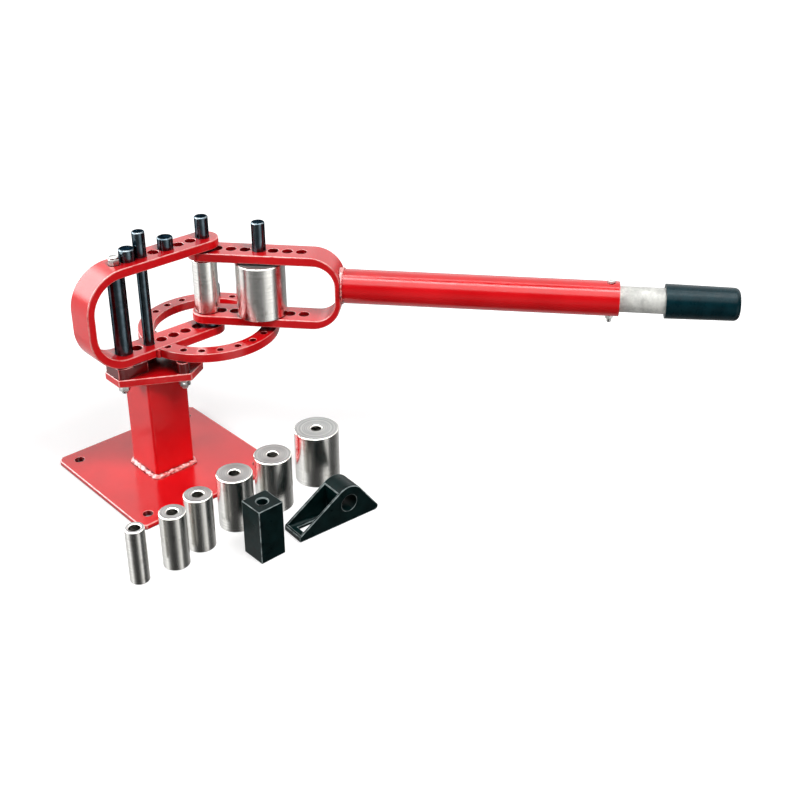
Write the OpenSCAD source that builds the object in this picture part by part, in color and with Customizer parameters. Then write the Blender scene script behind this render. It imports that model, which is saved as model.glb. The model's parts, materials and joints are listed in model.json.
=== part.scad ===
// Hand-operated bar and pipe bender on a short pedestal, with its round dies and angle blocks.
// Millimetres. The origin is at the middle of the underside of the floor plate, +Z is up,
// and +X runs along the main frame from its closed end to the pivot.

/* [Stand] */
// Side of the square floor plate
base_w = 230; // [200:1:260]
// Thickness of the floor plate
base_t = 8; // [6:1:12]
// Cut at each corner of the floor plate
base_clip = 7; // [3:1:12]
// Distance of the anchor holes from the plate's edges
anchor_inset = 23; // [18:1:32]
// Diameter of the anchor holes
anchor_d = 14; // [9:0.5:16]
// Side of the square post
post_w = 64; // [58:1:70]
// Wall of the post
post_wall = 4; // [3:0.5:6]
// Outside corner radius of the post
post_r = 4.5; // [3:0.5:8]
// Length of the post
post_h = 154.4; // [120:0.1:200]
// Post axis from the middle of the floor plate, along X
post_x = -4; // [-10:0.5:10]
// Post axis from the middle of the floor plate, along Y
post_y = 5; // [-10:0.5:10]
// Size of the weld beads at the post's ends
post_bead = 5; // [3:0.5:6]
// Thickness of the three-sided top plate
top_t = 11; // [6:0.5:12]
// Distance from the post axis to the long sides of the top plate
top_side = 49; // [47:0.5:56]
// Distance from the post axis to the clipped corners of the top plate
top_clip = 67; // [64:0.5:72]
// Step from the top plate's edge to the saddle block
saddle_step = 2; // [0.5:0.5:4]
// Length of the saddle block, along the arm
saddle_len = 43; // [40:0.5:60]
// Diameter of the saddle's two round feet under the ring
foot_d = 17; // [15:0.5:20]
// Height of the saddle under the bender head
saddle_h = 16.2; // [15:0.1:24]
// Distance of the seat bolts from the post axis
seat_bolt_r = 56; // [52:0.5:57]
// Thread diameter of the seat bolts
seat_bolt_d = 9; // [8:0.5:10]

/* [Frame] */
// Width of the flat bar
bar_w = 44; // [40:0.5:48]
// Thickness of the flat bar
bar_t = 13; // [11:0.5:15]
// Distance from one bar hole to the next
pitch = 19.85; // [19.5:0.05:21]
// Post axis to the pivot
head_reach = 94.8; // [90:0.1:98]
// Pivot to the outside of the main frame's closed end
frame_reach = 198; // [194:1:210]
// Outside bend radius of the main frame
frame_bend = 58; // [50:1:60]
// Thickness of the bar at the main frame's closed end, where the bend has drawn it thinner
frame_end_t = 11.5; // [9:0.5:13]
// Pin diameter, the same in every bar hole and die
pin_d = 14.8; // [12:0.1:16]
// Clearance round each pin
pin_fit = 0.08; // [0.03:0.01:0.1]
// Spacer sleeve outside diameter
sleeve_d = 24; // [22:0.5:26]
// Thread diameter of the long bolt through the sleeve
rear_bolt_d = 9.5; // [8:0.5:10]
// Width across the flats of its head and nut
rear_nut_w = 14.3; // [13:0.1:15]
// Height of its locking nut
rear_nut_h = 10.8; // [8:0.1:12]

/* [Index ring] */
// Outside diameter of the ring
ring_d = 201; // [190:1:206]
// Width of the ring's band
ring_band = 22.6; // [18:0.2:26]
// Holes round the ring
ring_holes = 22; // [20:1:24]
// Diameter of the ring holes
ring_hole_d = 9.5; // [8:0.1:10]
// Which ring hole carries the stop pin, counted from +X
stop_hole = 3; // [3:1:4]
// Head diameter of the stop pin
stop_d = 14; // [12:0.5:15]
// Height of the stop pin above the ring
stop_h = 19.4; // [12:0.1:20]

/* [Swing arm] */
// Angle of the swing arm from +X as photographed
swing_angle = -49; // [-60:1:-40]
// Pivot to the outside of the swing frame's closed end
swing_reach = 196; // [190:1:206]
// Outside bend radius of the swing frame
swing_bend = 43; // [38:1:48]
// Thickness of the bar at the swing frame's closed end, where the bend has drawn it thinner
swing_end_t = 8.5; // [7:0.5:13]
// Thickness of the washer under the swing frame
low_washer_t = 6.6; // [5:0.1:8]
// Thickness of the washer over the swing frame
up_washer_t = 2.6; // [2:0.1:4]
// Diameter of both washers
washer_d = 36; // [30:1:40]
// Running gap at each washer and under each mounted die
seat_gap = 0.3; // [0.2:0.1:0.4]
// Outside diameter of the handle tube
handle_d = 48.3; // [46:0.1:50]
// Wall of the handle tube
handle_wall = 5.4; // [4:0.05:5.8]
// Length of the handle tube
handle_len = 382; // [340:1:400]
// Outside diameter of the extension tube
ext_d = 36; // [34:0.1:37]
// Wall of the extension tube
ext_wall = 2.6; // [2:0.1:3.5]
// How far the extension tube reaches inside the handle tube
ext_in = 90; // [60:1:140]
// How far the extension tube reaches out of the handle tube
ext_out = 155; // [140:1:180]
// Thread diameter of the cross bolt in the handle
cross_d = 6; // [5:1:8]
// Cross bolt to the handle tube's end
cross_in = 12; // [10:0.5:20]
// Length of the rubber grip
grip_len = 100; // [90:1:110]
// Grip diameter at its open end
grip_d = 48; // [46:0.5:50]
// Grip diameter at its closed end
grip_end_d = 45.5; // [43:0.5:47]
// Thickness of the grip's closed end
grip_cap = 7; // [4:0.5:10]
// Height of the handle above the middle of the swing frame
handle_lift = 5.3; // [0:0.1:6]
// Size of the weld bead round the handle tube
handle_bead = 2; // [1.5:0.5:5]

/* [Pins] */
// Head diameter of the pivot pin and the die pin
pin_head_d = 19; // [18:0.5:21]
// Head diameter of the rest pin
rest_head_d = 17.4; // [16:0.1:17.6]
// Height of the pivot pin's head
pivot_head_h = 31; // [26:0.5:40]
// Height of the die pin's head
die_head_h = 42; // [36:0.5:48]
// Height of the rest pin's head
rest_head_h = 36; // [30:0.5:42]
// How far the pivot pin stands out under the lower arm
pivot_tail = 8; // [4:0.5:12]
// How far the die pin stands out under the swing frame
die_tail = 2; // [1:0.5:4]
// Diameter of the short pins' heads
stub_d = 21.6; // [19:0.1:21.8]
// Height of the short pins' heads
stub_h = 17; // [12:0.5:20]
// Bevel on pin heads
pin_bevel = 1.2; // [0.6:0.1:2]

/* [Dies] */
// Height of every round die
die_h = 80; // [76:0.5:84]
// Gap over a mounted die
die_play = 2.7; // [2:0.1:4]
// Diameter of the centre die on the pivot
centre_d = 35; // [32:0.5:38]
// Diameter of the bending die on the swing arm
bending_d = 70; // [64:0.5:72]
// Count of swing holes from the pivot to the bending die
die_count = 4; // [4:1:5]
// Bevel on the edges of the dies
die_bevel = 1; // [0.5:0.1:1.5]
// Diameters of the loose dies
loose_d = [25.4, 35, 38.1, 49, 52, 63.5];
// Places of the loose dies along X
loose_x = [-171, -118, -72, -8, 57, 144];
// Places of the loose dies along Y
loose_y = [-199, -202, -191, -182, -180, -167];

/* [Blocks] */
// Side of the square block
square_w = 38; // [36:0.5:40]
// Middle of the square block along X
square_x = -20.5; // [-24:0.5:-18]
// Middle of the square block along Y
square_y = -261; // [-266:0.5:-256]
// Corner of the angle block along X
angle_x = 25; // [24:0.5:28]
// Corner of the angle block along Y
angle_y = -277; // [-280:0.5:-270]
// Turn of the angle block on the floor
angle_turn = -4.4; // [-8:0.1:0]
// Length of the angle block on the floor
angle_len = 129.4; // [124:0.1:136]
// Depth of the angle block along its bore
angle_depth = 37.4; // [34:0.2:40]
// Radius of the angle block's nose
angle_nose = 25.4; // [24:0.1:27]
// Bore of the angle block
angle_bore = 25; // [22:0.1:26]
// Height of the bore's axis above the floor
angle_bore_z = 29.5; // [28:0.1:32]
// Bore's axis from the angle block's low end
angle_bore_x = 81; // [78:0.5:84]
// Height of the blunt low end
angle_blunt = 7.8; // [6:0.1:9]
// Corner radius at the angle block's right end
angle_tip = 5; // [4:0.5:7]
// Wall of the angle block's pocket
angle_wall = 3.5; // [3:0.1:5]
// Floor of the angle block's pocket
angle_floor = 5; // [4:0.5:6]
// Width of the slot in the pocket's floor
angle_slot = 14; // [10:0.5:18]

/* [Hidden] */
$fn = 64;

RED = "firebrick";
BLACK = "dimgray";
STEEL = "silver";
eps = 0.01;
over = 2;

hole_d = pin_d + 2 * pin_fit;
z_top = base_t + post_h;
z_seat = z_top + top_t;
z_arm = z_seat + saddle_h;
z_low = z_arm + bar_t;
swing_h = seat_gap + die_h + die_play + 2 * bar_t;
z_swing = z_low + low_washer_t + seat_gap;
z_swing_top = z_swing + swing_h;
z_handle = z_swing + swing_h / 2 + handle_lift;
frame_gap = low_washer_t + swing_h + up_washer_t + 2 * seat_gap;
z_up = z_low + frame_gap;
frame_h = frame_gap + 2 * bar_t;
z_frame_top = z_arm + frame_h;
z_die = z_swing + bar_t + seat_gap;
pivot_x = post_x + head_reach;
ring_pcd = ring_d - ring_band;
stop_angle = stop_hole * 360 / ring_holes;
seat_angles = [-169, -76, 60];
sleeve_k = floor((frame_reach - frame_bend) / pitch);
swing_last = floor((swing_reach - swing_bend) / pitch);
rear_stub_k = sleeve_k - 1;
rest_k = sleeve_k - 2;
front_stub_k = sleeve_k - 4;
handle_r0 = swing_reach;
handle_r1 = handle_r0 + handle_len;
ext_r1 = handle_r1 + ext_out;
grip_r1 = ext_r1 + grip_cap;
cross_r = handle_r1 - cross_in;
bolt_room = 0.2;
thread_tail = 3;
cross_tail = 6;
head_part = 0.65;
nut_part = 0.8;
head_room = 0.8;
bolt_cover = 8;
ring_bead = 4;
saddle_bead = 2;
bead_end = 6.5;
bead_gap = 1;
blend = 0.2;
seat_washer_t = 2;
seat_tail = 4.5;
sleeve_room = 0.5;
collar_part = 0.26;
collar_in = 0.4;
nut_turn = 27;
cope = 12;
ring_corner = sqrt(pow(ring_d / 2, 2) - pow(bar_w / 2, 2));
seat_nut_w = 1.6 * seat_bolt_d;
seat_washer_d = 1.85 * seat_bolt_d;
cross_nut_w = 1.7 * cross_d;

module at_post() {
    translate([post_x, post_y, 0]) children();
}

module at_pivot() {
    translate([pivot_x, post_y, 0]) children();
}

// Places a child at a hole of the main frame, counted back from the pivot
module at_hole(k) {
    translate([pivot_x - k * pitch, post_y, 0]) children();
}

// Turns a child with the swing arm and moves it along the arm
module at_swing(r = 0) {
    at_pivot() rotate([0, 0, swing_angle]) translate([r, 0, 0]) children();
}

module rounded_square(w, r) {
    square([w, w - 2 * r], center = true);
    square([w - 2 * r, w], center = true);
    for (sx = [-1, 1], sy = [-1, 1])
        translate([sx * (w / 2 - r), sy * (w / 2 - r)]) circle(r);
}

// Solid six-sided nut or bolt head of a given width across its flats
module hexagon(w, h) {
    rotate([0, 0, 30]) cylinder(d = w / cos(30), h = h, $fn = 6);
}

// Solid cylinder with a bevel at its top, and at its foot too if asked
module beveled(d, h, bevel, foot = false) {
    low = foot ? bevel : 0;
    if (foot) cylinder(d1 = d - 2 * bevel, d2 = d, h = bevel);
    translate([0, 0, low]) cylinder(d = d, h = h - low - bevel);
    translate([0, 0, h - bevel]) cylinder(d1 = d, d2 = d - 2 * bevel, h = bevel);
}

// Through bore with a bevel at both mouths
module die_bore(h, d = hole_d) {
    translate([0, 0, -over]) cylinder(d = d, h = h + 2 * over);
    translate([0, 0, -eps]) cylinder(d1 = d + 2 * die_bevel, d2 = d, h = die_bevel);
    translate([0, 0, h - die_bevel + eps]) cylinder(d1 = d, d2 = d + 2 * die_bevel, h = die_bevel);
}

// Round steel die standing on z = 0
module die(d) {
    difference() {
        beveled(d, die_h, die_bevel, true);
        die_bore(die_h);
    }
}

// Three-sided outline with clipped corners, one long side facing +X
module three_sided(inset = 0) {
    intersection() {
        rotate(180) circle(r = 2 * (top_side - inset), $fn = 3);
        circle(r = 2 * (top_clip - inset), $fn = 3);
    }
}

// Round bar of weld round the post's foot, before the post is cut out of it
module bead_loop(r) {
    reach = post_w / 2 - post_r;
    for (a = [0:90:270]) rotate([0, 0, a]) {
        translate([post_w / 2, -reach, 0]) rotate([-90, 0, 0]) cylinder(r = r, h = 2 * reach);
        translate([reach, reach, 0]) rotate_extrude(angle = 90) intersection() {
            translate([post_r, 0]) circle(r);
            translate([0, -r]) square([post_r + r, 2 * r]);
        }
    }
}

// Side view of a lying U filled in: its outside with inset 0, or its inside with the bar's thickness
module bent_fill(len, h, bend, inset) {
    translate([bend, inset]) square([len - bend, h - 2 * inset]);
    translate([inset, bend]) square([bend - inset + eps, h - 2 * bend]);
    for (z = [bend, h - bend]) translate([bend, z]) circle(bend - inset);
}

// Side view of the space inside a lying U whose bar is end_t thick at the closed end
module bent_inside(len, h, bend, end_t) {
    translate([end_t - bar_t, 0]) bent_fill(len + bar_t - end_t, h, bend, bar_t);
}

// Side view of a bar bent into a lying U: x from the closed end's outside at 0, z from 0 to h
module bent_bar(len, h, bend, end_t) {
    difference() {
        bent_fill(len, h, bend, 0);
        bent_inside(len + over, h, bend, end_t);
    }
}

// Bent bar along +X whose open end is rounded about the pivot on the z axis
module bent_frame(reach, h, bend, end_t) {
    intersection() {
        translate([-reach, bar_w / 2, 0]) rotate([90, 0, 0]) linear_extrude(bar_w)
            bent_bar(reach + bar_w / 2, h, bend, end_t);
        union() {
            translate([-reach - over, -bar_w, -over]) cube([reach + over, 2 * bar_w, h + 2 * over]);
            translate([0, 0, -over]) cylinder(d = bar_w, h = h + 2 * over);
        }
    }
}

module base_plate() {
    anchor = base_w / 2 - anchor_inset;
    color(RED) difference() {
        linear_extrude(base_t) intersection() {
            square(base_w, center = true);
            rotate(45) square(sqrt(2) * (base_w - base_clip), center = true);
        }
        for (sx = [-1, 1], sy = [-1, 1])
            translate([sx * anchor, sy * anchor, -over]) cylinder(d = anchor_d, h = base_t + 2 * over);
    }
}

module post() {
    color(RED) at_post() translate([0, 0, base_t]) linear_extrude(post_h) difference() {
        rounded_square(post_w, post_r);
        rounded_square(post_w - 2 * post_wall, post_r - post_wall / 2);
    }
}

module base_weld() {
    color(RED) at_post() difference() {
        translate([0, 0, base_t]) bead_loop(post_bead);
        translate([0, 0, base_t - over - post_bead]) cylinder(d = 3 * post_w, h = over + post_bead);
        translate([0, 0, base_t - over]) linear_extrude(3 * post_bead) rounded_square(post_w, post_r);
    }
}

module top_plate() {
    color(RED) at_post() translate([0, 0, z_top]) difference() {
        linear_extrude(top_t) three_sided();
        seat_bolt_cuts(top_t);
    }
}

module top_weld() {
    color(RED) at_post() difference() {
        translate([0, 0, z_top]) bead_loop(post_bead - bead_gap);
        translate([0, 0, z_top]) cylinder(d = 3 * post_w, h = 2 * post_bead);
        translate([0, 0, z_top - 2 * post_bead]) linear_extrude(3 * post_bead)
            rounded_square(post_w, post_r);
    }
}

// Holes for the seat bolts, measured up from the plate's underside
module seat_bolt_cuts(h) {
    for (a = seat_angles) rotate([0, 0, a]) translate([seat_bolt_r, 0, -over])
        cylinder(d = seat_bolt_d + 2 * bolt_room, h = h + 2 * over);
}

// Block under the arm and two round feet under the ring, all tapped for the seat bolts
module saddle() {
    depth = saddle_h - bolt_cover;
    color(RED) difference() {
        at_post() translate([0, 0, z_seat]) difference() {
            union() {
                linear_extrude(saddle_h) intersection() {
                    three_sided(saddle_step);
                    translate([saddle_step - top_clip, -bar_w / 2]) square([saddle_len, bar_w]);
                }
                for (i = [1, 2]) rotate([0, 0, seat_angles[i]]) translate([seat_bolt_r, 0, 0])
                    cylinder(d = foot_d, h = saddle_h);
            }
            translate([0, 0, -over]) seat_bolt_cuts(depth);
        }
        at_hole(sleeve_k) translate([0, 0, z_seat - over])
            cylinder(d = rear_nut_w / cos(30) + head_room, h = saddle_h + 2 * over);
    }
}

// Studs that hold the saddle down, each with its washer and nut under the top plate
module seat_bolts() {
    nut = nut_part * seat_bolt_d;
    low = seat_washer_t + nut + seat_tail;
    color(STEEL) at_post() for (a = seat_angles) rotate([0, 0, a]) translate([seat_bolt_r, 0, z_top]) {
        translate([0, 0, -seat_washer_t]) cylinder(d = seat_washer_d, h = seat_washer_t);
        translate([0, 0, -seat_washer_t - nut]) hexagon(seat_nut_w, nut + eps);
        translate([0, 0, -low]) cylinder(d = seat_bolt_d, h = low + top_t + saddle_h - bolt_cover - over);
    }
}

// Beads along both sides of the joint between the saddle block and the straight part of the arm
module saddle_weld() {
    x1 = post_x - top_clip + saddle_step + saddle_len - bead_gap;
    x0 = min(pivot_x - frame_reach + frame_bend + bead_gap, x1 - bead_end);
    color(RED) difference() {
        for (s = [-1, 1]) translate([x0, post_y + s * bar_w / 2, z_arm]) rotate([0, 90, 0])
            cylinder(r = saddle_bead, h = x1 - x0);
        translate([x0 - over, post_y - bar_w / 2, z_arm - bar_t])
            cube([x1 - x0 + 2 * over, bar_w, 2 * bar_t]);
    }
}

module main_frame() {
    color(RED) difference() {
        at_pivot() translate([0, 0, z_arm]) bent_frame(frame_reach, frame_h, frame_bend, frame_end_t);
        for (k = [0:sleeve_k]) at_hole(k) translate([0, 0, z_arm - over])
            cylinder(d = hole_d, h = frame_h + 2 * over);
    }
}

module index_ring() {
    inner = ring_d - 2 * ring_band;
    color(RED) at_pivot() translate([0, 0, z_arm]) difference() {
        cylinder(d = ring_d, h = bar_t, $fn = 128);
        translate([0, 0, -over]) cylinder(d = inner, h = bar_t + 2 * over, $fn = 128);
        translate([-ring_d, -bar_w / 2, -over]) cube([ring_d, bar_w, bar_t + 2 * over]);
        for (k = [0:ring_holes - 1]) rotate([0, 0, k * 360 / ring_holes])
            translate([ring_pcd / 2, 0, -over]) cylinder(d = ring_hole_d, h = bar_t + 2 * over);
    }
}

// Upright beads in the four corners between the ring and the arm
module ring_weld() {
    color(RED) at_pivot() translate([0, 0, z_arm]) difference() {
        for (d = [ring_d, ring_d - 2 * ring_band], s = [-1, 1])
            translate([-sqrt(pow(d / 2, 2) - pow(bar_w / 2, 2)), s * bar_w / 2, 0])
                cylinder(r = ring_bead, h = bar_t - bead_gap);
        difference() {
            translate([0, 0, -over]) cylinder(d = ring_d, h = bar_t + 2 * over, $fn = 128);
            translate([0, 0, -2 * over])
                cylinder(d = ring_d - 2 * ring_band, h = bar_t + 4 * over, $fn = 128);
        }
        translate([-ring_d, -bar_w / 2, -over]) cube([ring_d, bar_w, bar_t + 2 * over]);
    }
}

// Spacer tube whose ends follow the inside of the frame where its bend begins
module rear_sleeve() {
    color(BLACK) intersection() {
        at_hole(sleeve_k) translate([0, 0, z_arm]) difference() {
            cylinder(d = sleeve_d, h = frame_h);
            translate([0, 0, -over]) cylinder(d = rear_bolt_d + 2 * sleeve_room, h = frame_h + 2 * over);
        }
        at_pivot() translate([-frame_reach, bar_w / 2, z_arm]) rotate([90, 0, 0]) linear_extrude(bar_w)
            bent_inside(frame_reach, frame_h, frame_bend, frame_end_t);
    }
}

// Long bolt whose end stays just inside the collar of its nut
module rear_bolt() {
    head = head_part * rear_bolt_d;
    color(STEEL) at_hole(sleeve_k) {
        translate([0, 0, z_arm - head]) hexagon(rear_nut_w, head);
        translate([0, 0, z_arm - eps]) cylinder(d = rear_bolt_d, h = frame_h + rear_nut_h - collar_in);
    }
}

// Locking nut: a hexagon with a round collar on top
module rear_nut() {
    collar = collar_part * rear_nut_h;
    color(STEEL) at_hole(sleeve_k) translate([0, 0, z_frame_top]) difference() {
        union() {
            rotate([0, 0, nut_turn]) hexagon(rear_nut_w, rear_nut_h - collar);
            cylinder(d1 = rear_nut_w - collar_in, d2 = rear_nut_w - 2 * collar_in, h = rear_nut_h);
        }
        translate([0, 0, -over]) cylinder(d = rear_bolt_d, h = rear_nut_h + 2 * over);
    }
}

module washer(z, t) {
    color(BLACK) at_pivot() translate([0, 0, z]) difference() {
        cylinder(d = washer_d, h = t);
        translate([0, 0, -over]) cylinder(d = hole_d, h = t + 2 * over);
    }
}

module lower_washer() {
    washer(z_low, low_washer_t);
}

module swing_frame() {
    color(RED) at_swing() translate([0, 0, z_swing]) difference() {
        rotate([0, 0, 180]) bent_frame(swing_reach, swing_h, swing_bend, swing_end_t);
        for (k = [0:swing_last]) translate([k * pitch, 0, -over])
            cylinder(d = hole_d, h = swing_h + 2 * over);
    }
}

module upper_washer() {
    washer(z_swing_top, up_washer_t);
}

// Lays a child's z axis along the handle, starting a given distance from the pivot
module along_handle(r) {
    at_swing(r) translate([0, 0, z_handle]) rotate([0, 90, 0]) children();
}

module cross_cut(d) {
    at_swing(cross_r) translate([0, 0, z_handle - handle_d]) cylinder(d = d, h = 2 * handle_d);
}

// Everything inside the outside of the swing frame's closed end, wider than the bar
module swing_end_cut() {
    at_swing() translate([swing_reach, handle_d, z_swing]) rotate([90, 0, 0]) mirror([1, 0, 0])
        linear_extrude(2 * handle_d) bent_fill(swing_reach, swing_h, swing_bend, 0);
}

// Outer tube, its end cut to the round of the closed end
module handle_tube() {
    color(RED) difference() {
        along_handle(handle_r0 - cope) difference() {
            cylinder(d = handle_d, h = handle_len + cope);
            translate([0, 0, -over])
                cylinder(d = handle_d - 2 * handle_wall, h = handle_len + cope + 2 * over);
        }
        swing_end_cut();
        cross_cut(cross_d + 2 * bolt_room);
    }
}

module handle_weld() {
    color(RED) difference() {
        along_handle(handle_r0 - cope) difference() {
            rotate_extrude() {
                translate([0, 0]) square([handle_d / 2 + handle_bead, cope]);
                translate([handle_d / 2, cope]) circle(handle_bead);
            }
            translate([0, 0, -over - handle_bead]) cylinder(d = handle_d, h = cope + 4 * handle_bead);
        }
        swing_end_cut();
    }
}

module extension_tube() {
    color(STEEL) difference() {
        along_handle(handle_r1 - ext_in) difference() {
            cylinder(d = ext_d, h = ext_in + ext_out);
            translate([0, 0, -over]) cylinder(d = ext_d - 2 * ext_wall, h = ext_in + ext_out + 2 * over);
        }
        cross_cut(cross_d + 2 * bolt_room);
    }
}

module handle_bolt() {
    head = head_part * cross_d;
    tail = nut_part * cross_d + cross_tail;
    color(STEEL) at_swing(cross_r) translate([0, 0, z_handle]) {
        translate([0, 0, handle_d / 2]) hexagon(cross_nut_w, head);
        translate([0, 0, -handle_d / 2 - tail]) cylinder(d = cross_d, h = handle_d + tail + eps);
    }
}

module handle_nut() {
    h = nut_part * cross_d;
    color(STEEL) at_swing(cross_r) translate([0, 0, z_handle - handle_d / 2 - h]) difference() {
        hexagon(cross_nut_w, h);
        translate([0, 0, -over]) cylinder(d = cross_d, h = h + 2 * over);
    }
}

module grip() {
    round_r = 8;
    bore = grip_len - grip_cap;
    color("darkslategray") along_handle(grip_r1 - grip_len) difference() {
        rotate_extrude() {
            polygon([
                [0, 0], [grip_d / 2, 0], [grip_end_d / 2, grip_len - round_r],
                [grip_end_d / 2 - round_r, grip_len - round_r], [grip_end_d / 2 - round_r, grip_len],
                [0, grip_len]
            ]);
            intersection() {
                translate([grip_end_d / 2 - round_r, grip_len - round_r]) circle(round_r);
                translate([0, grip_len - round_r - eps]) square([grip_d, round_r + over]);
            }
        }
        translate([0, 0, -over]) cylinder(d = ext_d + 2 * pin_fit, h = bore + over);
    }
}

// Pin with a thick head above z = 0 and a shank below it
module headed_pin(head_d, head_h, shank_d, shank_h) {
    color(BLACK) {
        beveled(head_d, head_h, pin_bevel);
        translate([0, 0, -shank_h]) cylinder(d = shank_d, h = shank_h + eps);
    }
}

module pivot_pin() {
    at_pivot() translate([0, 0, z_frame_top])
        headed_pin(pin_head_d, pivot_head_h, pin_d, frame_h + pivot_tail);
}

module die_pin() {
    at_swing(die_count * pitch) translate([0, 0, z_swing_top])
        headed_pin(pin_head_d, die_head_h, pin_d, swing_h + die_tail);
}

module rest_pin() {
    at_hole(rest_k) translate([0, 0, z_frame_top])
        headed_pin(rest_head_d, rest_head_h, pin_d, frame_h - seat_gap);
}

module stub_pin(k) {
    at_hole(k) translate([0, 0, z_frame_top]) headed_pin(stub_d, stub_h, pin_d, bar_t);
}

module front_stub_pin() {
    stub_pin(front_stub_k);
}

module rear_stub_pin() {
    stub_pin(rear_stub_k);
}

module stop_pin() {
    at_pivot() rotate([0, 0, stop_angle]) translate([ring_pcd / 2, 0, z_low])
        headed_pin(stop_d, stop_h, ring_hole_d - 2 * pin_fit, bar_t);
}

module centre_die() {
    color(STEEL) at_pivot() translate([0, 0, z_die]) die(centre_d);
}

module bending_die() {
    color(STEEL) at_swing(die_count * pitch) translate([0, 0, z_die]) die(bending_d);
}

module loose_die(i) {
    color(STEEL) translate([loose_x[i], loose_y[i], 0]) die(loose_d[i]);
}

module square_block() {
    color(BLACK) translate([square_x, square_y, 0]) difference() {
        translate([-square_w / 2, -square_w / 2, 0]) cube([square_w, square_w, die_h]);
        die_bore(die_h);
    }
}

// Point where a line from p touches the circle of radius r about c, on the side s
function touch(p, c, r, s) =
    let (v = p - c, a = atan2(v[1], v[0]) + s * acos(r / norm(v)))
    c + r * [cos(a), sin(a)];

// Angle block's body on its side: straight sides between a round nose and a rounded far corner.
// The sides stay a hair inside the round parts that they blend into.
module angle_body() {
    nose = [angle_bore_x, angle_bore_z];
    tip = [angle_len - angle_tip, angle_tip];
    toward = tip - nose;
    a = atan2(toward[1], toward[0]) + acos((angle_nose - angle_tip) / norm(toward));
    normal = [cos(a), sin(a)];
    translate([0, angle_depth, 0]) rotate([90, 0, 0]) {
        linear_extrude(angle_depth) polygon([
            [0, 0], [0, angle_blunt], touch([0, angle_blunt], nose, angle_nose - blend, -1),
            nose + (angle_nose - blend) * normal, tip + (angle_tip - blend) * normal, [tip[0], 0]
        ]);
        translate([nose[0], nose[1], 0]) cylinder(r = angle_nose, h = angle_depth);
        translate([tip[0], tip[1], 0]) cylinder(r = angle_tip, h = angle_depth);
    }
}

module angle_block() {
    pocket_x1 = angle_bore_x - angle_bore / 2 - angle_wall;
    pocket_w = angle_depth - 2 * angle_wall;
    slot_x0 = 4 * angle_wall;
    color(BLACK) translate([angle_x, angle_y, 0]) rotate([0, 0, angle_turn]) difference() {
        angle_body();
        translate([angle_bore_x, -over, angle_bore_z]) rotate([-90, 0, 0])
            cylinder(d = angle_bore, h = angle_depth + 2 * over);
        translate([angle_wall, angle_wall, angle_floor])
            cube([pocket_x1 - angle_wall, pocket_w, 3 * angle_nose]);
        translate([slot_x0, (angle_depth - angle_slot) / 2, -over])
            cube([pocket_x1 - slot_x0, angle_slot, angle_floor + 2 * over]);
    }
}

base_plate();
post();
base_weld();
top_plate();
top_weld();
saddle();
seat_bolts();
saddle_weld();
main_frame();
index_ring();
ring_weld();
rear_sleeve();
rear_bolt();
rear_nut();
lower_washer();
swing_frame();
upper_washer();
handle_tube();
handle_weld();
extension_tube();
handle_bolt();
handle_nut();
grip();
pivot_pin();
die_pin();
rest_pin();
front_stub_pin();
rear_stub_pin();
stop_pin();
centre_die();
bending_die();
loose_die(0);  // loose_die_1
loose_die(1);  // loose_die_2
loose_die(2);  // loose_die_3
loose_die(3);  // loose_die_4
loose_die(4);  // loose_die_5
loose_die(5);  // loose_die_6
square_block();
angle_block();
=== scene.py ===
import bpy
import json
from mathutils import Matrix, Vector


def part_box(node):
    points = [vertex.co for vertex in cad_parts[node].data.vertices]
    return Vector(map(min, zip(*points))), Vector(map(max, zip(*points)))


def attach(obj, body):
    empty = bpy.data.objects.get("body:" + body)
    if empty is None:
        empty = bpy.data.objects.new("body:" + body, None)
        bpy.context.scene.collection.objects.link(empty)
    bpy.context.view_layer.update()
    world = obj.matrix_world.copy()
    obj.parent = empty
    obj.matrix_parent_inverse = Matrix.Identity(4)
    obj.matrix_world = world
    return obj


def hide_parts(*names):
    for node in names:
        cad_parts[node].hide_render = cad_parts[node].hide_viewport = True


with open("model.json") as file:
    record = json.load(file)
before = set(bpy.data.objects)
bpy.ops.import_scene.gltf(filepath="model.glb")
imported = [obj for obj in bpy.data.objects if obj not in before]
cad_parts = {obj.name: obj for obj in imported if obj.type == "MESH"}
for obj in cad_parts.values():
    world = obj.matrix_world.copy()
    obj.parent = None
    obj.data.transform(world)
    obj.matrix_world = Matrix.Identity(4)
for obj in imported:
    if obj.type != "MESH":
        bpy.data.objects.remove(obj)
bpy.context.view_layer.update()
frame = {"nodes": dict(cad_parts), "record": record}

import json
import math

import bmesh
import bpy
from mathutils import Matrix, Vector, noise

NODES = frame["nodes"]
SUBPARTS = frame["record"]["subparts"]
BODIES = frame["record"]["behaviour"]["bodies"]
SLOT_OF = {part["node"]: part["material_slot"] for part in SUBPARTS}
BODY_OF = {node: body for body, nodes in BODIES.items() for node in nodes}
SCENE = bpy.context.scene
MM = 0.001

# The camera, fitted to the photograph: its direction in degrees, the point at Y = 0 that it looks
# at and its distance from there in metres, and its lens in pixels of the 800 x 800 frame.
AZIMUTH, ELEVATION, ROLL = -43.2, 26.32, 0.25
TARGET_X, TARGET_Z, DISTANCE = 0.50135, 0.06975, 2.10125
FOCAL_PX, CENTRE_X, CENTRE_Y, FRAME_PX = 1250.73, 420.0, 319.95, 800
SENSOR_MM = 36
CLIP_START, CLIP_END = 0.1, 50


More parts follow.
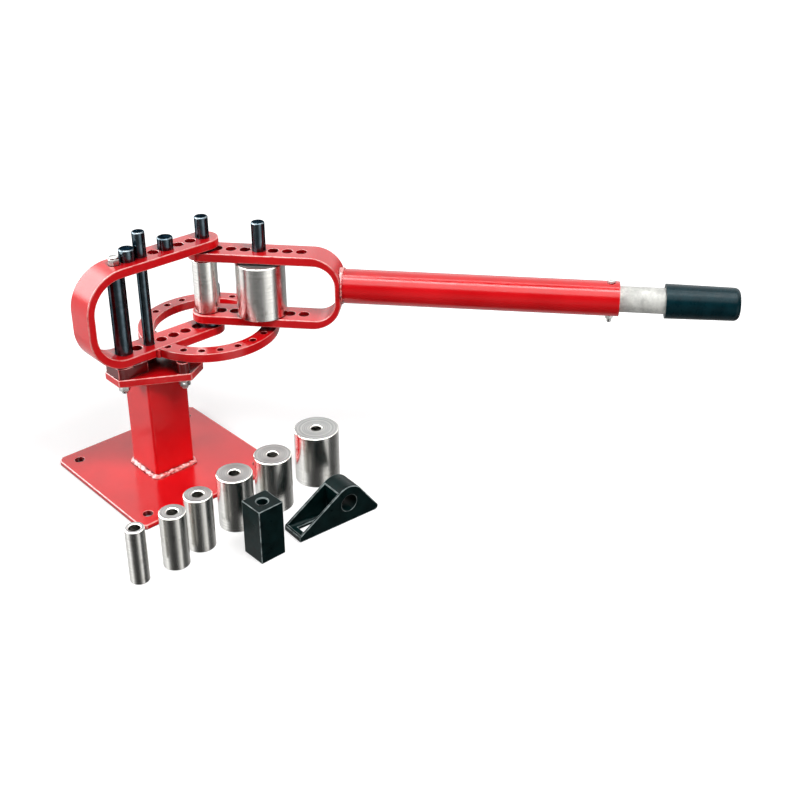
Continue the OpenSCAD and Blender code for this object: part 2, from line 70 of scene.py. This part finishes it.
def make_camera():
    a, e, roll = (math.radians(v) for v in (AZIMUTH, ELEVATION, ROLL))
    back = Vector((math.sin(a) * math.cos(e), -math.cos(a) * math.cos(e), math.sin(e)))
    right = (-back).cross(Vector((0, 0, 1))).normalized()
    up = right.cross(-back)
    right, up = (right * math.cos(roll) + up * math.sin(roll),
                 up * math.cos(roll) - right * math.sin(roll))
    data = bpy.data.cameras.new("camera")
    data.sensor_width = SENSOR_MM
    data.lens = FOCAL_PX / FRAME_PX * SENSOR_MM
    data.shift_x = (FRAME_PX / 2 - CENTRE_X) / FRAME_PX
    data.shift_y = (CENTRE_Y - FRAME_PX / 2) / FRAME_PX
    data.clip_start, data.clip_end = CLIP_START, CLIP_END
    camera = bpy.data.objects.new("camera", data)
    SCENE.collection.objects.link(camera)
    place = Matrix((right, up, back)).transposed().to_4x4()
    place.translation = Vector((TARGET_X, 0, TARGET_Z)) + back * DISTANCE
    camera.matrix_world = place
    SCENE.camera = camera


make_camera()


class Graph:
    """A node tree, built with short calls. A value is a number, a colour or a node's output."""

    def __init__(self, tree):
        self.tree = tree

    def add(self, kind, **values):
        node = self.tree.nodes.new("ShaderNode" + kind)
        for key, value in values.items():
            if hasattr(node, key):
                setattr(node, key, value)
            else:
                node.inputs[key.replace("_", " ")].default_value = value
        return node

    def link(self, out, into):
        self.tree.links.new(out, into)

    def feed(self, socket, value):
        if isinstance(value, (int, float)):
            socket.default_value = value
        elif isinstance(value, tuple):
            socket.default_value = (*value, 1)
        else:
            self.link(value, socket)

    def math(self, operation, *values):
        node = self.add("Math", operation=operation)
        for socket, value in zip(node.inputs, values):
            self.feed(socket, value)
        return node.outputs["Value"]

    def times(self, a, b):
        return self.math("MULTIPLY", a, b)

    def ramp(self, value, low, high, to_low=0.0, to_high=1.0, curve="LINEAR"):
        node = self.add("MapRange", interpolation_type=curve,
                        From_Min=low, From_Max=high, To_Min=to_low, To_Max=to_high)
        self.link(value, node.inputs["Value"])
        return node.outputs["Result"]

    def split(self, vector):
        node = self.add("SeparateXYZ")
        self.link(vector, node.inputs[0])
        return node.outputs["X"], node.outputs["Y"], node.outputs["Z"]


class Material(Graph):
    """A material whose pattern lies in the object's own metres."""

    def __init__(self, name):
        self.material = bpy.data.materials.new(name)
        self.material.use_nodes = True
        super().__init__(self.material.node_tree)
        self.shader = self.tree.nodes["Principled BSDF"]

    def coords(self, scale=(1, 1, 1), move=(0, 0, 0)):
        where = self.add("TexCoord")
        mapping = self.add("Mapping")
        mapping.inputs["Location"].default_value = move
        mapping.inputs["Scale"].default_value = scale
        self.link(where.outputs["Object"], mapping.inputs["Vector"])
        return mapping.outputs["Vector"]

    def noise(self, scale, detail=4, rough=0.5, vector=None):
        node = self.add("TexNoise", Scale=scale, Detail=detail, Roughness=rough)
        self.link(vector or self.coords(), node.inputs["Vector"])
        return node.outputs["Fac"]

    def rings(self, scale, detail, along):
        """Noise along one measure only, as turning marks are."""
        node = self.add("TexNoise", noise_dimensions="1D", Scale=scale, Detail=detail)
        self.link(along, node.inputs["W"])
        return node.outputs["Fac"]

    def mix(self, fac, a, b):
        node = self.add("Mix", data_type="RGBA")
        for socket, value in ((node.inputs[0], fac), (node.inputs[6], a), (node.inputs[7], b)):
            self.feed(socket, value)
        return node.outputs[2]

    def crevice(self, distance, open_at=0.75, closed_at=0.25):
        """1 in narrow corners, 0 in the open."""
        shade = self.add("AmbientOcclusion", samples=6, Distance=distance)
        return self.ramp(shade.outputs["AO"], open_at, closed_at)

    def bump(self, *layers):
        """Stacks bump layers of (height, strength, distance in metres)."""
        last = None
        for height, strength, distance in layers:
            node = self.add("Bump", Strength=strength, Distance=distance)
            self.link(height, node.inputs["Height"])
            if last:
                self.link(last, node.inputs["Normal"])
            last = node.outputs["Normal"]
        self.link(last, self.shader.inputs["Normal"])

    def facing_up(self):
        """1 on level faces, 0 on upright ones and on rounded edges."""
        z = self.split(self.add("NewGeometry").outputs["Normal"])[2]
        return self.ramp(self.math("ABSOLUTE", z), 0.96, 0.995)

    def radial(self):
        """Lays brushed reflections along turning marks round the upright axis."""
        tangent = self.add("Tangent", direction_type="RADIAL", axis="Z")
        self.link(tangent.outputs["Tangent"], self.shader.inputs["Tangent"])

    def set(self, **values):
        for key, value in values.items():
            self.feed(self.shader.inputs[key.replace("_", " ")], value)


# Colours are linear. A pair is the two ends that a cloud or a mottle runs between.
ENAMEL = (0.6, 0.003, 0.006), (0.7, 0.006, 0.01)
# The enamel's pale edge colour: partly wear, partly a painted highlight.
ENAMEL_WORN_HIGHLIGHT = (0.85, 0.36, 0.32)
CORNER_SHADE, DEEP_SHADE = (0.1, 0.0, 0.002), (0.05, 0.0, 0.001)
# Painted shade under overhangs, and a film of painted shadow over a whole piece.
PAINTED_UNDERHANG_SHADE, PAINTED_SHADOW_FILM = (0.004, 0.0005, 0.0005), (0.02, 0.001, 0.001)
# The oxide's pale edge colour, after its pair: partly wear, partly a painted highlight.
OXIDE, OXIDE_WORN_HIGHLIGHT = ((0.05, 0.075, 0.09), (0.1, 0.13, 0.15)), (0.4, 0.44, 0.46)
OXIDE_GRAZING = (0.05, 0.05, 0.05)
# The castings' pale edge colour, after their pair: partly wear, partly a painted highlight.
CASTING, CASTING_WORN_HIGHLIGHT = ((0.0004, 0.005, 0.005), (0.0018, 0.012, 0.012)), (0.36, 0.42, 0.42)
STEEL_SIDE = (0.7, 0.69, 0.65), (0.87, 0.86, 0.83)
# The level faces' colour is darker as painted shade.
STEEL_TOP_PAINTED_SHADE = (0.25, 0.26, 0.255), (0.37, 0.38, 0.37)
STEEL_STAIN, STEEL_MARK = (0.34, 0.31, 0.27), (0.4, 0.4, 0.39)
ZINC, ZINC_SHADE = ((0.36, 0.36, 0.35), (0.6, 0.6, 0.58)), (0.03, 0.03, 0.03)
GALVANISED, GALVANISED_SPECK = ((0.42, 0.42, 0.4), (0.7, 0.7, 0.66)), (0.3, 0.31, 0.3)
RUBBER = (0.0008, 0.013, 0.018), (0.0015, 0.02, 0.027)
FLOOR_GREY = (0.44, 0.44, 0.44), (0.46, 0.46, 0.46)

# Index of refraction of the enamel: where it is worn the edges shine more.
ENAMEL_IOR, WORN_IOR = 1.47, 1.9
# Streaks, partly tarnish and partly painted reflection bands, to each die's radius, and how much
# rougher its level faces are than its sides.
STREAKS, TOP_ROUGHER = 2.2, 0.22


def make_paint(name="red_enamel", worn_highlight=0.0, underhang_shade=0.0, shadow_film=0.0):
    """Red enamel. The first option makes it pale and shiny, as on edges: partly wear, partly a
    painted highlight. The second lays painted shade under overhangs, and the third a film of
    painted shadow all over."""
    n = Material(name)
    color = n.mix(n.ramp(n.noise(14, 5), 0.35, 0.7), *ENAMEL)
    # Pale edges: partly wear, partly a painted highlight.
    if worn_highlight:
        worn_highlight_mask = n.ramp(n.noise(90, 4), 0.38, 0.6, 0.25, 1.0)
        color = n.mix(n.times(worn_highlight_mask, worn_highlight), color, ENAMEL_WORN_HIGHLIGHT)
    color = n.mix(n.times(n.crevice(0.006), 0.8), color, CORNER_SHADE)
    color = n.mix(n.times(n.crevice(0.02, 0.7, 0.42), 0.9), color, DEEP_SHADE)
    # Painted shade: darker under overhangs, where the shadow falls.
    if underhang_shade:
        color = n.mix(n.times(n.crevice(0.045, 0.66, 0.54), underhang_shade), color, PAINTED_UNDERHANG_SHADE)
    # A film of painted shadow over the whole piece.
    if shadow_film:
        color = n.mix(shadow_film, color, PAINTED_SHADOW_FILM)
    n.set(Base_Color=color, Metallic=0.0, Roughness=n.ramp(n.noise(60, 4), 0.3, 0.7, 0.14, 0.24),
          IOR=WORN_IOR if worn_highlight else ENAMEL_IOR, Specular_IOR_Level=0.5)
    n.bump((n.noise(520, 2), 0.06, 0.0003), (n.noise(45, 3), 0.07, 0.0005))
    return n.material


def make_black(name="black_oxide", worn_highlight=0.0):
    """Blackened bright steel: dark, with a cool sheen that fades at grazing angles."""
    n = Material(name)
    color = n.mix(n.ramp(n.noise(90, 5), 0.35, 0.7), *OXIDE)
    # Pale edges: partly wear, partly a painted highlight.
    if worn_highlight:
        worn_highlight_mask = n.ramp(n.noise(150, 3), 0.36, 0.6)
        color = n.mix(n.times(worn_highlight_mask, worn_highlight), color, OXIDE_WORN_HIGHLIGHT)
    n.set(Base_Color=color, Metallic=1.0, Roughness=n.ramp(n.noise(130, 4), 0.3, 0.7, 0.16, 0.28),
          Specular_Tint=OXIDE_GRAZING)
    n.bump((n.noise(700, 3), 0.08, 0.0003))
    return n.material


def make_cast(name="black_casting", worn_highlight=0.0):
    """The two black blocks: dull black castings with pale edges, partly wear and partly a painted
    highlight.
    """
    n = Material(name)
    color = n.mix(n.ramp(n.noise(60, 5), 0.35, 0.7), *CASTING)
    # Pale edges: partly wear, partly a painted highlight.
    if worn_highlight:
        worn_highlight_mask = n.ramp(n.noise(110, 3), 0.36, 0.58, 0.3, 1.0)
        color = n.mix(n.times(worn_highlight_mask, worn_highlight), color, CASTING_WORN_HIGHLIGHT)
    n.set(Base_Color=color, Metallic=0.0, Roughness=n.ramp(n.noise(110, 4), 0.3, 0.7, 0.26, 0.4),
          Specular_IOR_Level=0.08)
    n.bump((n.noise(420, 4), 0.12, 0.0004))
    return n.material


def make_turned(name, centre, radius):
    """Turned steel about an upright axis: fine rings, with soft streaks along the sides, partly
    tarnish and partly painted reflection bands, and level faces darker as painted shade.
    """
    n = Material(name)
    x, y, z = n.split(n.coords(move=(-centre[0], -centre[1], 0)))
    reach = n.math("POWER", n.math("ADD", n.math("POWER", x, 2.0), n.math("POWER", y, 2.0)), 0.5)
    along = n.math("ADD", reach, z)
    fine = n.rings(2600.0, 3.0, along)
    coarse = n.rings(420.0, 2.0, along)
    wide = STREAKS / radius
    place = n.coords((wide, wide, 2.0), (-wide * centre[0], -wide * centre[1], 0))
    # Streaks: partly tarnish, partly painted reflection bands.
    tarnish_and_reflection_streak = n.noise(1.0, 3, 0.6, place)
    stain = n.ramp(n.noise(70, 5, 0.6), 0.56, 0.68)
    side = n.mix(n.ramp(tarnish_and_reflection_streak, 0.38, 0.62), *STEEL_SIDE)
    side = n.mix(n.times(stain, 0.3), side, STEEL_STAIN)
    side = n.mix(n.ramp(coarse, 0.4, 0.7, 0.0, 0.25), side, STEEL_MARK)
    # Level faces: coarse rings, darker as painted shade.
    top = n.mix(n.ramp(coarse, 0.35, 0.65), *STEEL_TOP_PAINTED_SHADE)
    level = n.facing_up()
    rough = n.math("ADD", n.ramp(tarnish_and_reflection_streak, 0.3, 0.7, 0.26, 0.17), n.times(level, TOP_ROUGHER))
    n.set(Base_Color=n.mix(level, side, top), Metallic=n.ramp(level, 0.0, 1.0, 1.0, 0.6),
          Anisotropic=0.6, Roughness=rough)
    n.radial()
    n.bump((fine, 0.2, 0.0001), (coarse, 0.12, 0.0003))
    return n.material


def make_zinc():
    """Zinc-plated bolts and nuts, with painted shade in their corners."""
    n = Material("zinc_plate")
    color = n.mix(n.ramp(n.noise(120, 4), 0.35, 0.65), *ZINC)
    color = n.mix(n.times(n.crevice(0.004, 0.8, 0.35), 0.9), color, ZINC_SHADE)
    n.set(Base_Color=color, Metallic=1.0, Roughness=n.ramp(n.noise(200, 3), 0.3, 0.7, 0.22, 0.36))
    n.bump((n.noise(600, 3), 0.1, 0.0003))
    return n.material


def make_galvanised():
    """The handle's extension: dull, mottled galvanised tube."""
    n = Material("galvanised")
    color = n.mix(n.ramp(n.noise(55, 6, 0.65), 0.4, 0.65), *GALVANISED)
    color = n.mix(n.ramp(n.noise(190, 4, 0.6), 0.55, 0.72, 0.0, 0.4), color, GALVANISED_SPECK)
    n.set(Base_Color=color, Metallic=0.1, Roughness=n.ramp(n.noise(80, 4), 0.3, 0.7, 0.4, 0.6),
          Specular_IOR_Level=0.25)
    n.bump((n.noise(180, 4), 0.15, 0.0006))
    return n.material


def make_rubber():
    """The grip: smooth dark rubber with a fine grain."""
    n = Material("grip_rubber")
    color = n.mix(n.ramp(n.noise(70, 4), 0.35, 0.7), *RUBBER)
    n.set(Base_Color=color, Metallic=0.0, Roughness=n.ramp(n.noise(90, 4), 0.3, 0.7, 0.24, 0.34),
          Specular_IOR_Level=0.12)
    n.bump((n.noise(900, 2), 0.2, 0.0003))
    return n.material


MATERIAL_OF_SLOT = {
    "red_paint": make_paint(),
    "black_finish": make_black(),
    "zinc_plate": make_zinc(),
    "galvanised": make_galvanised(),
    "rubber": make_rubber(),
}
CAST = make_cast()
# Welds in pale enamel: partly wear, partly a painted highlight.
WELD_HIGHLIGHT = make_paint("red_enamel_weld_highlight", 0.75)
# The top plate, with painted shade under the ring and arm.
UNDERHANG_SHADE_ENAMEL = make_paint("red_enamel_painted_underhang_shade", underhang_shade=0.97)
# The saddle and its weld, with painted shade under overhangs and a film of painted shadow.
SHADOW_FILM_ENAMEL = make_paint("red_enamel_painted_shadow", underhang_shade=0.97, shadow_film=0.85)
MATERIAL_OF_NODE = {
    "square_block": CAST,
    "angle_block": CAST,
    "saddle": SHADOW_FILM_ENAMEL,
    "saddle_weld": SHADOW_FILM_ENAMEL,
    "top_plate": UNDERHANG_SHADE_ENAMEL,
    "base_weld": WELD_HIGHLIGHT,
    "handle_weld": WELD_HIGHLIGHT,
}
# What the rounded edges wear: pale, partly wear and partly a painted highlight. The blocks have an
# edge of their own.
CAST_RIM_HIGHLIGHT = make_cast("black_casting_edge_highlight", 0.8)
RIM_HIGHLIGHT_OF_SLOT = {
    "red_paint": make_paint("red_enamel_edge_highlight", 0.6),
    "black_finish": make_black("black_oxide_edge_highlight", 0.6),
}


def material_for(name):
    slot = SLOT_OF[name]
    if slot == "turned_steel":
        low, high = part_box(name)
        return make_turned("turned_" + name, (low + high) / 2, (high.x - low.x) / 2)
    return MATERIAL_OF_NODE.get(name) or MATERIAL_OF_SLOT[slot]


def rim_highlight_for(name):
    return CAST_RIM_HIGHLIGHT if name.endswith("_block") else RIM_HIGHLIGHT_OF_SLOT.get(SLOT_OF[name])


# Two facets of one curve turn by less than CURVE_TURN degrees and by more than FLAT_TURN radians.
# A hole's wall curves within BORE_REACH metres. Points closer than SAME_POINT metres are one, and
# facets within JOIN_ANGLE degrees are one flat face. Edges over the sharp angle, in degrees, stay
# sharp in the shading.
CURVE_TURN, FLAT_TURN = 32, 0.01
BORE_REACH = 0.015
SAME_POINT, JOIN_ANGLE = 2e-6, 0.6
SHARP_EDGE, SHARP_LUMP = 35, 80


def clean_mesh(name):
    """The node's solid as one closed mesh with its flat faces joined."""
    bm = bmesh.new()
    bm.from_mesh(NODES[name].data)
    bmesh.ops.remove_doubles(bm, verts=bm.verts, dist=SAME_POINT)
    bmesh.ops.dissolve_limit(bm, angle_limit=math.radians(JOIN_ANGLE),
                             verts=bm.verts, edges=bm.edges)
    bm.normal_update()
    return bm


def is_bore_wall(face):
    """True for a strip of a hole's wall: curved inward, with a radius below BORE_REACH."""
    for edge in face.edges:
        if len(edge.link_faces) == 2 and not edge.is_convex:
            turn = edge.calc_face_angle(0)
            if FLAT_TURN < turn < math.radians(CURVE_TURN):
                one, two = (f.calc_center_median() for f in edge.link_faces)
                if (one - two).length / turn < BORE_REACH:
                    return True
    return False


def put_back(bm, name, sharp=SHARP_EDGE):
    """Makes a mesh the piece that stands for a node."""
    bmesh.ops.triangulate(bm, faces=[f for f in bm.faces if len(f.verts) > 4])
    mesh = bpy.data.meshes.new(name + "_form")
    bm.to_mesh(mesh)
    bm.free()
    mesh.shade_smooth()
    mesh.set_sharp_from_angle(angle=math.radians(sharp))
    piece = bpy.data.objects.new(name + "_form", mesh)
    SCENE.collection.objects.link(piece)
    normals = piece.modifiers.new("normals", "WEIGHTED_NORMAL")
    normals.keep_sharp = True
    normals.weight = 100
    mesh.materials.append(material_for(name))
    rim_highlight = rim_highlight_for(name)
    if rim_highlight:
        mesh.materials.append(rim_highlight)
    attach(piece, BODY_OF[name])
    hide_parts(name)


def rounded(name, edge, bore, segments=3, angle=CURVE_TURN):
    """Rounds a node's outer edges, and its bore mouths by their own width, both in millimetres.
    The rounded strips wear the second material, pale as wear and as a painted highlight."""
    bm = clean_mesh(name)
    mouths, outer = [], []
    for e in bm.edges:
        if len(e.link_faces) == 2 and e.is_convex and e.calc_face_angle(0) >= math.radians(angle):
            (mouths if any(is_bore_wall(f) for f in e.link_faces) else outer).append(e)
    for group, width, steps in ((mouths, bore, 2), (outer, edge, segments)):
        group = [e for e in group if e.is_valid]
        if group and width:
            bmesh.ops.bevel(bm, geom=group, offset=width * MM, offset_type="OFFSET", segments=steps,
                            profile=0.5, affect="EDGES", clamp_overlap=False, loop_slide=True,
                            material=1)
            bm.normal_update()
    put_back(bm, name)


# A bead's waves drift by DRIFT over DRIFT_SIZE, and its lumps are LUMP_SIZE across, in millimetres.
DRIFT, DRIFT_SIZE, LUMP_SIZE = 2.2, 9.0, 4.2


def lumpy(name, voxel, lump, ripple, wave):
    """A weld bead: the node's solid with ripples and lumps, all in millimetres."""
    bm = clean_mesh(name)
    mesh = bpy.data.meshes.new(name + "_base")
    bmesh.ops.triangulate(bm, faces=bm.faces)
    bm.to_mesh(mesh)
    bm.free()
    holder = bpy.data.objects.new(name + "_base", mesh)
    SCENE.collection.objects.link(holder)
    remesh = holder.modifiers.new("remesh", "REMESH")
    remesh.mode, remesh.voxel_size = "VOXEL", voxel * MM
    bpy.context.view_layer.update()
    graph = bpy.context.evaluated_depsgraph_get()
    fine = bpy.data.meshes.new_from_object(holder.evaluated_get(graph))
    bpy.data.objects.remove(holder)
    bm = bmesh.new()
    bm.from_mesh(fine)
    bpy.data.meshes.remove(fine)
    bmesh.ops.smooth_vert(bm, verts=bm.verts, factor=0.5,
                          use_axis_x=True, use_axis_y=True, use_axis_z=True)
    bm.normal_update()
    for v in bm.verts:
        spot = v.co / MM
        drift = noise.noise(spot / DRIFT_SIZE) * DRIFT
        along = (spot.x + spot.y + spot.z) / wave + drift
        step = 0.5 - abs(along - math.floor(along) - 0.5)
        v.co += v.normal * MM * (lump * noise.noise(spot / LUMP_SIZE) + ripple * (step - 0.25))
    put_back(bm, name, SHARP_LUMP)


# Rounding of outer edges and of bore mouths, in millimetres.
SOLID_EDGES = {
    "main_frame": (1.5, 0.8),
    "swing_frame": (1.5, 0.8),
    "index_ring": (1.0, 0.7),
    "base_plate": (1.5, 0.5),
    "top_plate": (1.3, 0.0),
    "saddle": (0.8, 0.0),
    "post": (0.6, 0.4),
    "angle_block": (1.2, 0.6),
    "square_block": (1.0, 0.6),
    "rear_bolt": (0.5, 0.25),
    "rear_nut": (0.5, 0.25),
    "handle_bolt": (0.5, 0.25),
    "handle_nut": (0.5, 0.25),
    "seat_bolts": (0.5, 0.25),
}
TUBE_EDGES = {
    "rear_sleeve": (0.5, 0.3),
    "handle_tube": (0.8, 0.5),
    "extension_tube": (0.4, 0.3),
}
PIN_EDGE, DIE_EDGE, DIE_MOUTH, ROUND_PIECE_TURN = 0.5, 0.24, 0.3, 28
# Voxel, lump height, ripple height and ripple length of the weld beads, in millimetres.
BEADS = {
    "base_weld": (0.8, 1.5, 0.9, 3.4),
    "top_weld": (0.8, 0.6, 0.5, 3.2),
    "saddle_weld": (0.6, 0.5, 0.4, 3.0),
    "ring_weld": (0.6, 0.4, 0.4, 2.8),
    "handle_weld": (0.6, 0.9, 0.5, 2.8),
}


def make_pieces():
    for name, edges in SOLID_EDGES.items():
        rounded(name, *edges)
    for name in NODES:
        if name.endswith("_pin"):
            rounded(name, PIN_EDGE, PIN_EDGE, angle=ROUND_PIECE_TURN)
        elif SLOT_OF[name] == "turned_steel":
            rounded(name, DIE_EDGE, DIE_MOUTH, segments=2, angle=ROUND_PIECE_TURN)
    for name, edges in TUBE_EDGES.items():
        rounded(name, *edges)
    for name, bead in BEADS.items():
        lumpy(name, *bead)
    for name, node in NODES.items():
        if name + "_form" not in bpy.data.objects:
            node.data.materials.clear()
            node.data.materials.append(material_for(name))


# The floor, in metres: its half width, and how far it lies below the object. To the camera it
# glows, from DIM_GLOW within DIM_NEAR of the post to full beyond DIM_FAR, so that it looks white
# and keeps the shadow. Under the floor plate it doesn't glow, up to UNDER_PLATE, just inside the
# plate's edge.
FLOOR_REACH, FLOOR_DEPTH = 6, 0.0005
DIM_NEAR, DIM_FAR, DIM_GLOW = 0.25, 0.8, 0.7
UNDER_PLATE = 0.112, 0.1125


def make_floor():
    r = FLOOR_REACH
    mesh = bpy.data.meshes.new("floor")
    mesh.from_pydata([(-r, -r, 0), (r, -r, 0), (r, r, 0), (-r, r, 0)], [], [(0, 1, 2, 3)])
    floor = bpy.data.objects.new("floor", mesh)
    SCENE.collection.objects.link(floor)
    floor.location.z = -FLOOR_DEPTH
    n = Material("floor")
    n.set(Base_Color=n.mix(n.ramp(n.noise(3, 2), 0.3, 0.7), *FLOOR_GREY), Roughness=0.9,
          Specular_IOR_Level=0.0)
    paths = n.add("LightPath")
    away = n.add("VectorMath", operation="LENGTH")
    n.link(n.coords(), away.inputs[0])
    glow = n.ramp(away.outputs["Value"], DIM_NEAR, DIM_FAR, DIM_GLOW, 1.0)
    x, y, _ = n.split(n.coords())
    reach = n.math("MAXIMUM", n.math("ABSOLUTE", x), n.math("ABSOLUTE", y))
    glow = n.times(glow, n.ramp(reach, *UNDER_PLATE))
    n.set(Emission_Color=(1, 1, 1), Emission_Strength=n.times(paths.outputs["Is Camera Ray"], glow))
    clear = n.add("BsdfTransparent")
    both = n.add("MixShader")
    n.link(paths.outputs["Is Glossy Ray"], both.inputs[0])
    n.link(n.shader.outputs[0], both.inputs[1])
    n.link(clear.outputs[0], both.inputs[2])
    n.link(both.outputs[0], n.tree.nodes["Material Output"].inputs["Surface"])
    mesh.materials.append(n.material)


# The studio round the object as shiny surfaces see it. Below the horizon NEAR is the ground close
# to the object and FAR the ground beyond it, as pairs of degrees to the right of the photograph's
# camera and brightness.
NEAR = ((-180, 0.8), (-150, 0.75), (-130, 0.7), (-112, 0.75), (-92, 0.95), (-72, 1.2), (-58, 0.8),
        (-46, 0.25), (-32, 0.1), (-12, 0.04), (12, 0.04), (28, 0.12), (40, 0.7), (50, 1.3),
        (60, 1.2), (68, 0.08), (100, 0.08), (128, 0.3), (150, 0.5), (180, 0.8))
FAR = ((-180, 0.4), (-150, 0.6), (-132, 1.0), (-70, 1.4), (-56, 1.0), (-44, 0.35), (-20, 0.22),
       (8, 0.28), (24, 0.7), (34, 1.8), (58, 1.8), (66, 0.04), (102, 0.04), (130, 0.25), (180, 0.4))
BRIGHTEST = 2.0
# Above it: the sky beyond the object, the dark sky on the camera's side, a panel at the left, a
# panel high on the camera's side, a bright strip near its top, and what dull surfaces get from all
# round.
SKY, DARK_SKY = 1.9, 0.04
LEFT_PANEL = 8.5
PANEL = 4.5
STRIP = 16.0
AMBIENT = 0.2
# Where each begins and is full, as shares of a direction of length 1: upwards (NEAR_TO_FAR, HORIZON
# and the names with BOTTOM or TOP), towards the camera (DARK_SIDE, CAMERA_SIDE) or to its right
# (LEFT_SIDE).
NEAR_TO_FAR, HORIZON = (-0.468, -0.442), (-0.1, 0.25)
DARK_SIDE, CAMERA_SIDE = (-0.35, 0.1), (-0.3, -0.12)
LEFT_SIDE, LEFT_BOTTOM = (-0.4, -0.65), (0.0, 0.2)
PANEL_BOTTOM, PANEL_TOP = (0.52, 0.66), (0.99, 0.92)
STRIP_BOTTOM, STRIP_TOP = (0.915, 0.955), (0.992, 0.975)


def make_world():
    world = bpy.data.worlds.new("studio")
    SCENE.world = world
    world.use_nodes = True
    n = Graph(world.node_tree)

    def step(value, edge):
        return n.ramp(value, *edge, curve="SMOOTHSTEP")

    def blend(fac, a, b):
        return n.math("ADD", n.times(a, n.math("SUBTRACT", 1.0, fac)), n.times(b, fac))

    def around(turn, stops):
        ramp = n.add("ValToRGB")
        n.link(turn, ramp.inputs[0])
        marks = ramp.color_ramp.elements
        while len(marks) < len(stops):
            marks.new(0.5)
        for mark, (degrees, value) in zip(marks, stops):
            mark.position = degrees / 360 + 0.5
            mark.color = (*(value / BRIGHTEST,) * 3, 1)
        return n.times(ramp.outputs["Color"], BRIGHTEST)

    def part_along(axis):
        dot = n.add("VectorMath", operation="DOT_PRODUCT")
        n.link(where.outputs["Generated"], dot.inputs[0])
        dot.inputs[1].default_value = axis
        return dot.outputs["Value"]

    a = math.radians(AZIMUTH)
    where = n.add("TexCoord")
    front = part_along((math.sin(a), -math.cos(a), 0))
    side = part_along((math.cos(a), math.sin(a), 0))
    height = part_along((0, 0, 1))

    turn = n.math("MULTIPLY_ADD", n.math("ARCTAN2", side, front), 0.5 / math.pi, 0.5)
    ground = blend(step(height, NEAR_TO_FAR), around(turn, NEAR), around(turn, FAR))
    sky = blend(step(front, DARK_SIDE), SKY, DARK_SKY)
    glossy = blend(step(height, HORIZON), ground, sky)
    left = n.times(step(side, LEFT_SIDE), step(height, LEFT_BOTTOM))
    glossy = blend(left, glossy, LEFT_PANEL)
    for bottom, top, strength in (
        (PANEL_BOTTOM, PANEL_TOP, PANEL),
        (STRIP_BOTTOM, STRIP_TOP, STRIP),
    ):
        patch = n.times(step(height, bottom), step(front, CAMERA_SIDE))
        glossy = blend(n.times(patch, step(height, top)), glossy, strength)

    paths = n.add("LightPath")
    shown = n.math("MAXIMUM", paths.outputs["Is Camera Ray"], paths.outputs["Is Transmission Ray"])
    other = blend(paths.outputs["Is Glossy Ray"], AMBIENT, glossy)
    background = n.tree.nodes["Background"]
    n.link(n.math("MAXIMUM", shown, other), background.inputs["Strength"])
    background.inputs["Color"].default_value = (1, 1, 1, 1)


# Soft lights, seen only by dull surfaces: place and size in metres, power in watts.
LIGHTS = (
    ("key", (-2.1, 0.8, 0.9), (1.2, 1.0), 42),
    ("top", (0.25, -1.35, 2.1), (0.8, 0.8), 42),
    ("back", (1.9, 2.0, 1.3), (2.0, 1.0), 10),
)
LIT_POINT = Vector((0.15, -0.1, 0.15))


def make_lights():
    for name, place, size, power in LIGHTS:
        data = bpy.data.lights.new(name, "AREA")
        data.shape = "RECTANGLE"
        data.size, data.size_y = size
        data.energy = power
        light = bpy.data.objects.new(name, data)
        SCENE.collection.objects.link(light)
        light.visible_camera = light.visible_glossy = False
        light.location = place
        light.rotation_mode = "QUATERNION"
        light.rotation_quaternion = (Vector(place) - LIT_POINT).to_track_quat("Z", "Y")


make_pieces()
make_floor()
make_world()
make_lights()
SCENE.view_settings.view_transform = "Standard"
